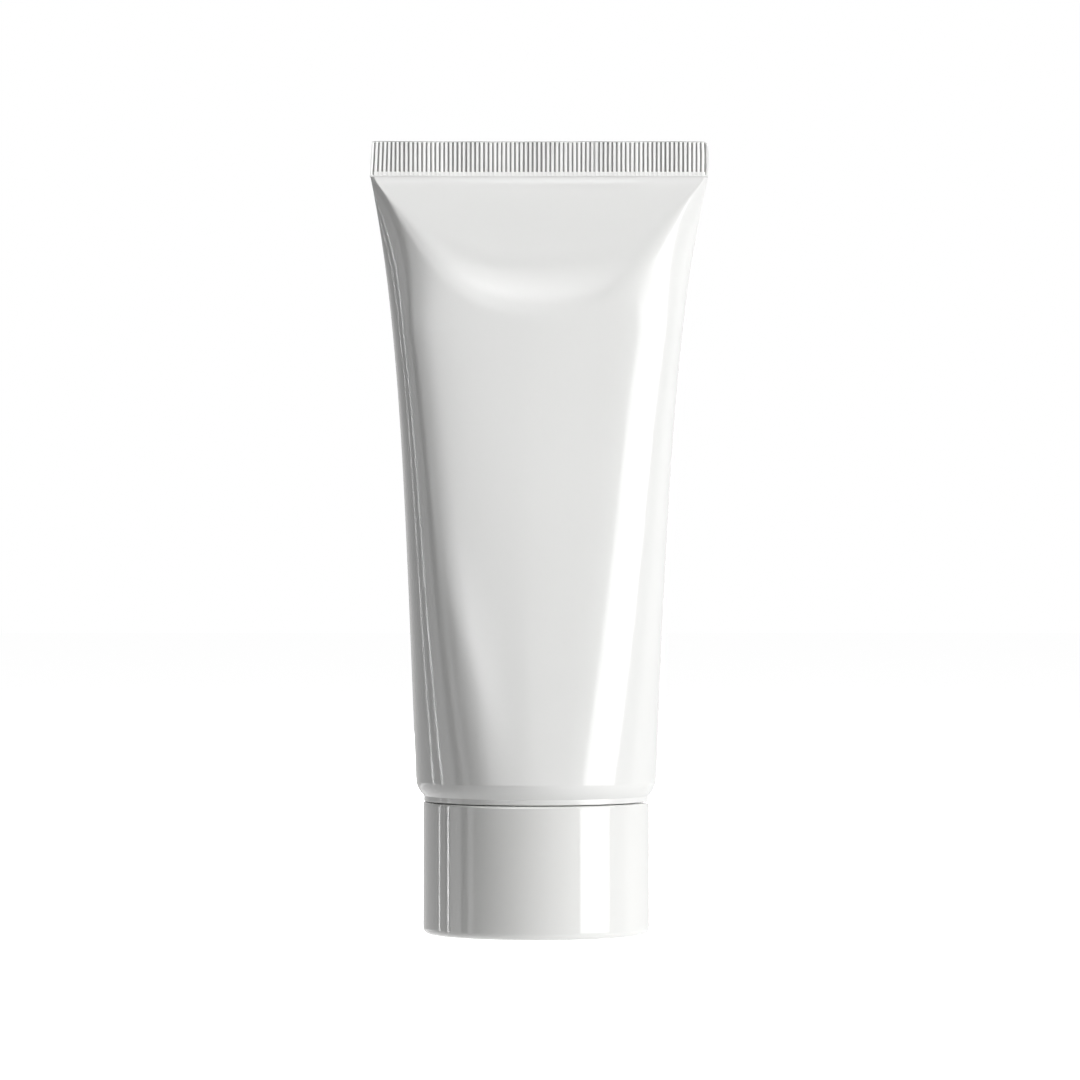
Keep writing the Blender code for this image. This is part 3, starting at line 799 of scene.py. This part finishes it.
def makeShell():
    inner = cap["radius"] - cap["wall"]
    low, high = cap["snapHeight"] - cap["grooveHalf"], cap["snapHeight"] + cap["grooveHalf"]
    corners = [
        (0.0, cap["floor"], 0.0),
        (inner, cap["floor"], 0.5 * mm),
        (inner, low - 0.2 * mm, 0.1 * mm),
        (cap["grooveRadius"], low, 0.1 * mm),
        (cap["grooveRadius"], high, 0.1 * mm),
        (inner, high + 0.2 * mm, 0.08 * mm),
        (inner, cap["height"], 0.25 * mm),
        (cap["radius"], cap["height"], cap["rimEdge"]),
        (cap["radius"], 0.0, cap["footEdge"]),
        (cap["recess"], 0.0, 0.12 * mm),
        (cap["recess"] - 0.25 * mm, cap["recessDepth"], 0.12 * mm),
        (cap["gate"] + 0.12 * mm, cap["recessDepth"], 0.08 * mm),
        (cap["gate"], cap["recessDepth"] - cap["gateDepth"], 0.06 * mm),
        (0.0, cap["recessDepth"] - cap["gateDepth"], 0.0),
    ]
    shell = turnOutline("outer_cap", roundCorners(corners, steps=7), cap["turnSteps"])
    outline = [
        (cap["driveRibInner"], cap["floor"] - cap["overlap"]),
        (inner + cap["overlap"], cap["floor"] - cap["overlap"]),
        (inner + cap["overlap"], cap["driveRibTop"]),
        (cap["driveRibInner"], cap["driveRibTop"] - cap["driveRibChamfer"]),
    ]
    ribs = [
        uprightPlate(f"drive_rib_{i + 1}", outline, cap["driveRibWidth"], driveAngle(i))
        for i in range(cap["driveRibs"])
    ]
    return combine(shell, mergePieces("drive_ribs", ribs), "UNION")


insert = {
    "collar": 9.25 * mm,
    "collarOuter": 10.9 * mm,
    "bottom": insertLow.z,
    "collarTop": 19.4 * mm,
    "ceilingLow": 7.0 * mm,
    "ceilingHigh": 8.3 * mm,
    "flange": 17.05 * mm,
    "flangeDrop": 1.0 * mm,
    "flangeThickness": 1.04 * mm,
    "bead": 0.4 * mm,
    "beadHalf": 0.1 * mm,
    "fins": 8,
    "finThickness": 1.0 * mm,
    "finOuter": 16.3 * mm,
    "finLift": 0.4 * mm,
    "threadCrest": 8.15 * mm,
    "threadTurns": (-0.4, 1.0),
    "notchDepth": 2.0 * mm,
    "loose": 0.35 * mm,
}


def flangeTop(radius):
    return shoulderHeight(radius) - insert["flangeDrop"]


def makeInsert():
    beadHalf = insert["beadHalf"]
    snap = cap["snapHeight"]
    thick = insert["flangeThickness"]
    corners = [
        (0.0, insert["ceilingHigh"], 0.0),
        (insert["collar"], insert["ceilingHigh"], 0.3 * mm),
        (insert["collar"], insert["collarTop"], 0.3 * mm),
        (insert["collarOuter"], flangeTop(insert["collarOuter"]), 0.4 * mm),
        (insert["flange"], flangeTop(insert["flange"]), 0.12 * mm),
        (insert["flange"], snap + 2 * beadHalf, 0.0),
        (insert["flange"] + insert["bead"], snap + beadHalf, 0.05 * mm),
        (insert["flange"] + insert["bead"], snap - beadHalf, 0.05 * mm),
        (insert["flange"], snap - 2 * beadHalf, 0.0),
        (insert["flange"], flangeTop(insert["flange"]) - thick, 0.1 * mm),
        (insert["collarOuter"], flangeTop(insert["collarOuter"]) - thick, 0.4 * mm),
        (insert["collarOuter"], insert["bottom"], 0.25 * mm),
        (insert["collar"], insert["bottom"], 0.25 * mm),
        (insert["collar"], insert["ceilingLow"], 0.3 * mm),
        (0.0, insert["ceilingLow"], 0.0),
    ]
    piece = turnOutline("cap_thread_insert", roundCorners(corners, steps=4), turnSteps)
    ridge = threadRidge(
        "collar_thread", insert["collar"], insert["threadCrest"], insert["threadTurns"],
        head["threadLow"] + head["pitch"] / 2, head["pitch"],
    )
    combine(piece, ridge, "UNION")
    root = insert["collarOuter"] - cap["overlap"]
    finOutline = [
        (root, insert["bottom"] + insert["finLift"]),
        (insert["finOuter"], insert["bottom"] + insert["finLift"]),
        (insert["finOuter"], flangeTop(insert["finOuter"]) - thick / 2),
        (root, flangeTop(root) - thick / 2),
    ]
    fins = [
        uprightPlate(f"fin_{i + 1}", finOutline, insert["finThickness"], 2 * math.pi * i / insert["fins"])
        for i in range(insert["fins"])
    ]
    combine(piece, mergePieces("fins", fins), "UNION")
    notchInner = cap["driveRibInner"] - insert["loose"]
    notchOutline = [
        (notchInner, snap - insert["notchDepth"]),
        (cap["radius"], snap - insert["notchDepth"]),
        (cap["radius"], cap["height"]),
        (notchInner, cap["height"]),
    ]
    notchWidth = cap["driveRibWidth"] + 2 * insert["loose"]
    notches = [
        uprightPlate(f"notch_{i + 1}", notchOutline, notchWidth, driveAngle(i))
        for i in range(cap["driveRibs"])
    ]
    return combine(piece, mergePieces("notches", notches), "DIFFERENCE")


liner = {
    "radius": linerHigh.x,
    "low": linerLow.z,
    "high": linerHigh.z,
    "edge": 0.15 * mm,
    "imprint": 0.06 * mm,  # ring that the neck's end leaves in the foam
    "turnSteps": 120,
}


def makeLiner():
    high = liner["high"]
    pressed = high - liner["imprint"]
    corners = [
        (0.0, high, 0.0),
        (head["orifice"] + 0.2 * mm, high, 0.3 * mm),
        (head["orifice"] + 0.6 * mm, pressed, 0.3 * mm),
        (head["neck"] - 0.3 * mm, pressed, 0.15 * mm),
        (head["neck"], high, 0.1 * mm),
        (liner["radius"], high, liner["edge"]),
        (liner["radius"], liner["low"], liner["edge"]),
        (0.0, liner["low"], 0.0),
    ]
    return turnOutline("foam_liner", roundCorners(corners, steps=4), liner["turnSteps"])


capGloss = {
    "finish": {"Roughness": 0.07, "IOR": 1.5, "Specular IOR Level": 0.5},
    "colors": ((0.852, 0.853, 0.838), (0.872, 0.873, 0.858)),
    "driftScale": 60,
    "rubScale": 260,        # handling has dulled the polish here and there
    "rubStretch": (1.0, 1.0, 3.0),
    "roughness": (0.055, 0.10),
    "peelScale": 850,
    "relief": 0.003 * mm,
}


def glossCapPlastic():
    material, tree, shader, place = startMaterial("gloss_cap_plastic", capGloss["finish"])
    drift = cloudy(tree, place, capGloss["driftScale"], 2.0)
    tint = mixedColors(tree, drift, *capGloss["colors"])
    tree.links.new(tint, shader.inputs["Base Color"])
    rubbed = cloudy(tree, stretched(tree, place, capGloss["rubStretch"]), capGloss["rubScale"], 4.0)
    gloss = remapped(tree, rubbed, 0.35, 0.75, *capGloss["roughness"])
    tree.links.new(gloss, shader.inputs["Roughness"])
    peel = cloudy(tree, place, capGloss["peelScale"], 2.0)
    bumped(tree, shader, [(peel, capGloss["relief"], 0.2)])
    return material


satin = {
    "driftScale": 90,
    "driftRelief": 0.02 * mm,
    "grainScale": 4200,
    "grainRelief": 0.012 * mm,
}


def satinMoulding(name, light, dark, roughness):
    # moulded polyolefin with the fine spark-eroded grain of its tool
    material, tree, shader, place = startMaterial(name, {"Roughness": roughness, "IOR": 1.49})
    drift = cloudy(tree, place, satin["driftScale"], 3.0)
    tree.links.new(mixedColors(tree, drift, dark, light), shader.inputs["Base Color"])
    grain = cloudy(tree, place, satin["grainScale"], 3.0, 0.6)
    gloss = remapped(tree, grain, 0.3, 0.7, roughness - 0.06, roughness + 0.08)
    tree.links.new(gloss, shader.inputs["Roughness"])
    heights = [(drift, satin["driftRelief"], 0.15), (grain, satin["grainRelief"], 0.35)]
    bumped(tree, shader, heights)
    return material


foilFinish = {
    "finish": {"Metallic": 1.0, "Roughness": 0.28, "IOR": 1.45},
    "colors": ((0.74, 0.75, 0.76), (0.83, 0.84, 0.85)),
    "roughness": (0.2, 0.36),
    "rollScale": 2600,      # streaks from the foil's rolling
    "rollStretch": (1.0, 0.06, 1.0),
    "quiltScale": 1900,
    "quiltRelief": 0.02 * mm,
    "creaseScale": 420,
    "creaseRelief": 0.05 * mm,
}


def heatSealFoil():
    material, tree, shader, place = startMaterial("heat_seal_foil", foilFinish["finish"])
    lengthwise = stretched(tree, place, foilFinish["rollStretch"])
    brushed = cloudy(tree, lengthwise, foilFinish["rollScale"], 3.0)
    tint = mixedColors(tree, brushed, *foilFinish["colors"])
    tree.links.new(tint, shader.inputs["Base Color"])
    gloss = remapped(tree, brushed, 0.3, 0.7, *foilFinish["roughness"])
    tree.links.new(gloss, shader.inputs["Roughness"])
    quilt = tree.nodes.new("ShaderNodeTexVoronoi")
    quilt.inputs["Scale"].default_value = foilFinish["quiltScale"]
    quilt.inputs["Randomness"].default_value = 0.15
    tree.links.new(place, quilt.inputs["Vector"])
    crease = cloudy(tree, place, foilFinish["creaseScale"], 3.0)
    heights = [(crease, foilFinish["creaseRelief"], 0.3)]
    heights.append((quilt.outputs["Distance"], foilFinish["quiltRelief"], 0.4))
    bumped(tree, shader, heights)
    return material


creamFinish = {
    "finish": {
        "Roughness": 0.42,
        "IOR": 1.38,
        "Subsurface Weight": 0.15,
        "Subsurface Scale": 2 * mm,
    },
    "colors": ((0.90, 0.915, 0.905), (0.95, 0.955, 0.945)),
    "roughness": (0.32, 0.5),
    "swirlScale": 150,
    "swirlRelief": 0.25 * mm,
    "bubbleScale": 1500,
    "bubbleRelief": 0.03 * mm,
}


def thickCream():
    material, tree, shader, place = startMaterial("thick_white_cream", creamFinish["finish"])
    swirl = cloudy(tree, place, creamFinish["swirlScale"], 3.0)
    tint = mixedColors(tree, swirl, *creamFinish["colors"])
    tree.links.new(tint, shader.inputs["Base Color"])
    sheen = remapped(tree, swirl, 0.3, 0.7, *creamFinish["roughness"])
    tree.links.new(sheen, shader.inputs["Roughness"])
    bubbles = cloudy(tree, place, creamFinish["bubbleScale"], 2.0)
    heights = [(swirl, creamFinish["swirlRelief"], 0.4)]
    heights.append((bubbles, creamFinish["bubbleRelief"], 0.25))
    bumped(tree, shader, heights)
    return material


foam = {
    "finish": {"Roughness": 0.8, "IOR": 1.45},
    "colors": ((0.86, 0.86, 0.84), (0.74, 0.74, 0.72)),
    "roughness": (0.7, 0.92),
    "cellScale": 3600,
    "cellRelief": 0.05 * mm,
}


def closedCellFoam():
    material, tree, shader, place = startMaterial("closed_cell_foam", foam["finish"])
    cells = tree.nodes.new("ShaderNodeTexVoronoi")
    cells.inputs["Scale"].default_value = foam["cellScale"]
    tree.links.new(place, cells.inputs["Vector"])
    cell = cells.outputs["Distance"]
    tint = mixedColors(tree, cell, *foam["colors"])
    tree.links.new(tint, shader.inputs["Base Color"])
    gloss = remapped(tree, cell, 0.0, 0.8, *foam["roughness"])
    tree.links.new(gloss, shader.inputs["Roughness"])
    bumped(tree, shader, [(cell, foam["cellRelief"], 0.5)])
    return material


satinWhite = satinMoulding("satin_head_plastic", (0.87, 0.87, 0.86), (0.84, 0.84, 0.83), 0.36)
satinInsert = satinMoulding("satin_insert_plastic", (0.86, 0.86, 0.85), (0.82, 0.82, 0.81), 0.40)

tubeSleeve = combine(makeSleeve(), makeSeal(), "UNION")
finishPiece(tubeSleeve, softWhitePlastic(), "tube", "tube_sleeve")
finishPiece(makeHead(), satinWhite, "tube", "tube_head")
finishPiece(makeFoil(), heatSealFoil(), "tube", "orifice_foil")
finishPiece(makeCream(), thickCream(), "tube", "shaving_cream")
finishPiece(makeShell(), glossCapPlastic(), "cap", "cap_shell")
finishPiece(makeInsert(), satinInsert, "cap", "cap_insert")
finishPiece(makeLiner(), closedCellFoam(), "liner", "liner_disc")


studio = {
    "ambient": 0.17,
    "floorGlow": 0.84,
    "floorColor": (0.86, 0.86, 0.86),
    "floorSize": 6.0,
    "floorDrop": 0.02 * mm,     # keeps the floor clear of the cap's foot
    "aim": (0.0, 0.0, 0.065),
    "edgeRamp": 0.45,           # share of a softbox's width over which its edge fades
}

# azimuth runs from the camera's side round to the right, and both angles are in degrees;
# a glossy box only shows in reflections, and a matte one only lights the surface;
# edges are the shares of the glow left at the box's left, right, lower and upper edge
softboxes = {
    "key_right": {
        "azimuth": 61, "elevation": 5.5, "distance": 0.65,
        "size": (0.4, 0.42), "glow": 5.0,
    },
    "fill_right": {
        "azimuth": 40, "elevation": 15, "distance": 1.0,
        "size": (0.5, 0.5), "glow": 4.3, "rays": "matte",
    },
    "rim_right": {
        "azimuth": 135, "elevation": 4, "distance": 0.8,
        "size": (1.1, 0.5), "glow": 0.8, "rays": "glossy",
    },
    "front_top": {
        "azimuth": -14, "elevation": 44, "distance": 0.8,
        "size": (0.8, 0.56), "glow": 8.0, "rays": "glossy",
        "edges": (0.0, 0.0, 0.0, 0.0),
    },
    "front_card": {
        "azimuth": -5, "elevation": 15, "distance": 0.8,
        "size": (1.0, 0.5), "glow": 3.4, "rays": "glossy",
        "edges": (0.0, 0.0, 0.65, 0.6),
    },
    "left_card": {
        "azimuth": -42, "elevation": 20, "distance": 0.8,
        "size": (1.04, 0.56), "glow": 6.0, "rays": "glossy",
        "edges": (0.0, 0.0, 0.85, 0.7),
    },
    "left_low": {
        "azimuth": -40, "elevation": 0, "distance": 0.8,
        "size": (0.66, 0.18), "glow": 4.0, "rays": "glossy",
        "edges": (0.0, 0.0, 0.0, 0.2),
    },
    "left_top": {
        "azimuth": -85, "elevation": 45, "distance": 0.8,
        "size": (0.7, 0.4), "glow": 1.6, "rays": "glossy",
        "edges": (0.0, 0.0, 0.3, 0.3),
    },
    "top_card": {
        "azimuth": -36, "elevation": 72, "distance": 0.8,
        "size": (0.9, 0.5), "glow": 4.4, "rays": "glossy",
        "edges": (0.0, 0.0, 0.4, 0.0),
    },
    "overhead": {
        "azimuth": 10, "elevation": 75, "distance": 0.8,
        "size": (0.6, 0.6), "glow": 0.8, "rays": "matte",
    },
    "rim_left": {
        "azimuth": -138, "elevation": 2, "distance": 0.8,
        "size": (1.0, 0.5), "glow": 0.6, "rays": "glossy",
    },
    "left_panel": {
        "azimuth": -90, "elevation": 2, "distance": 0.7,
        "size": (0.19, 0.5), "glow": 1.4, "rays": "glossy",
    },
    "left_soft": {
        "azimuth": -70, "elevation": 2, "distance": 0.7,
        "size": (0.085, 0.5), "glow": 1.2, "rays": "glossy",
    },
    "left_line": {
        "azimuth": -101, "elevation": 2, "distance": 0.7,
        "size": (0.022, 0.5), "glow": 11.0, "rays": "glossy",
    },
    "far_left_line": {
        "azimuth": -116, "elevation": 2, "distance": 0.7,
        "size": (0.016, 0.5), "glow": 8.0, "rays": "glossy",
    },
    "back": {
        "azimuth": -174, "elevation": 22, "distance": 0.9,
        "size": (0.9, 0.7), "glow": 3.4, "rays": "matte",
    },
    "back_strip": {
        "azimuth": 171, "elevation": 6, "distance": 0.8,
        "size": (0.2, 0.5), "glow": 4.5, "rays": "glossy",
    },
    "table_glow": {
        "azimuth": 0, "elevation": -90, "distance": 0.14,
        "size": (0.15, 0.15), "glow": 1.2, "rays": "matte",
    },
    "table_shine": {
        "azimuth": 0, "elevation": -90, "distance": 0.15,
        "size": (1.1, 1.1), "glow": 1.0, "rays": "glossy",
    },
}


def addSoftbox(name, box):
    light = bpy.data.lights.new(name, "AREA")
    light.shape = "RECTANGLE"
    light.size, light.size_y = box["size"]
    light.energy = math.pi * light.size * light.size_y * box["glow"]
    lamp = bpy.data.objects.new(name, light)
    azimuth, elevation = math.radians(box["azimuth"]), math.radians(box["elevation"])
    direction = Vector((
        math.sin(azimuth) * math.cos(elevation),
        -math.cos(azimuth) * math.cos(elevation),
        math.sin(elevation),
    ))
    lamp.location = Vector(studio["aim"]) + direction * box["distance"]
    lamp.rotation_euler = direction.to_track_quat("Z", "Y").to_euler()
    lamp.visible_camera = False
    lamp.visible_glossy = box.get("rays") != "matte"
    lamp.visible_diffuse = box.get("rays") != "glossy"
    if "edges" in box:
        fadeEdges(light, box["edges"])
    bpy.context.scene.collection.objects.link(lamp)


def fadeEdges(light, edges):
    light.use_nodes = True
    tree = light.node_tree
    split = tree.nodes.new("ShaderNodeSeparateXYZ")
    geometry = tree.nodes.new("ShaderNodeNewGeometry")
    tree.links.new(geometry.outputs["Parametric"], split.inputs["Vector"])
    across, up = split.outputs["X"], split.outputs["Y"]
    left, right, lower, upper = edges
    ramp = studio["edgeRamp"]
    level = remapped(tree, across, 0.0, ramp, left, 1.0)
    level = joined(tree, "MULTIPLY", level, remapped(tree, across, 1.0 - ramp, 1.0, 1.0, right))
    level = joined(tree, "MULTIPLY", level, remapped(tree, up, 0.0, ramp, lower, 1.0))
    level = joined(tree, "MULTIPLY", level, remapped(tree, up, 1.0 - ramp, 1.0, 1.0, upper))
    tree.links.new(level, tree.nodes["Emission"].inputs["Strength"])


def addFloor():
    half = studio["floorSize"] / 2
    mesh = bpy.data.meshes.new("pale_floor")
    corners = [(-half, -half), (half, -half), (half, half), (-half, half)]
    points = [(x, y, -studio["floorDrop"]) for x, y in corners]
    mesh.from_pydata(points, [], [(0, 1, 2, 3)])
    floor = bpy.data.objects.new("pale_floor", mesh)
    bpy.context.scene.collection.objects.link(floor)
    material = bpy.data.materials.new("pale_floor_paint")
    material.use_nodes = True
    shader = material.node_tree.nodes["Principled BSDF"]
    shader.inputs["Base Color"].default_value = (*studio["floorColor"], 1.0)
    shader.inputs["Roughness"].default_value = 0.9
    shader.inputs["Specular IOR Level"].default_value = 0.0
    shader.inputs["Emission Color"].default_value = (1.0, 1.0, 1.0, 1.0)
    shader.inputs["Emission Strength"].default_value = studio["floorGlow"]
    material.cycles.emission_sampling = "NONE"
    mesh.materials.append(material)
    floor.visible_diffuse = False
    floor.visible_glossy = False
    floor.visible_shadow = False


def addWorld():
    # the view sees plain white, and the tube is lit by a dimmer surround
    world = bpy.data.worlds.new("studio_white")
    world.use_nodes = True
    tree = world.node_tree
    background = tree.nodes["Background"]
    background.inputs["Color"].default_value = (1.0, 1.0, 1.0, 1.0)
    rays = tree.nodes.new("ShaderNodeLightPath")
    strength = remapped(tree, rays.outputs["Is Camera Ray"], 0.0, 1.0, studio["ambient"], 1.0)
    tree.links.new(strength, background.inputs["Strength"])
    bpy.context.scene.world = world


view = {
    "distance": 0.930,
    "height": 65.2 * mm,
    "side": 0.53 * mm,
    "frameWidth": 0.1793,   # width of the picture at the tube
    "sensor": 36.0,
}


def addCamera():
    camera = bpy.data.cameras.new("front_view")
    camera.sensor_width = view["sensor"]
    camera.lens = camera.sensor_width * view["distance"] / view["frameWidth"]
    eye = bpy.data.objects.new("front_view", camera)
    eye.location = (view["side"], -view["distance"], view["height"])
    eye.rotation_euler = (math.pi / 2, 0.0, 0.0)
    bpy.context.scene.collection.objects.link(eye)
    bpy.context.scene.camera = eye


bpy.context.scene.view_settings.view_transform = "Standard"
addWorld()
addFloor()
for name, box in softboxes.items():
    addSoftbox(name, box)
addCamera()
print("studio lit with", len(softboxes), "softboxes")
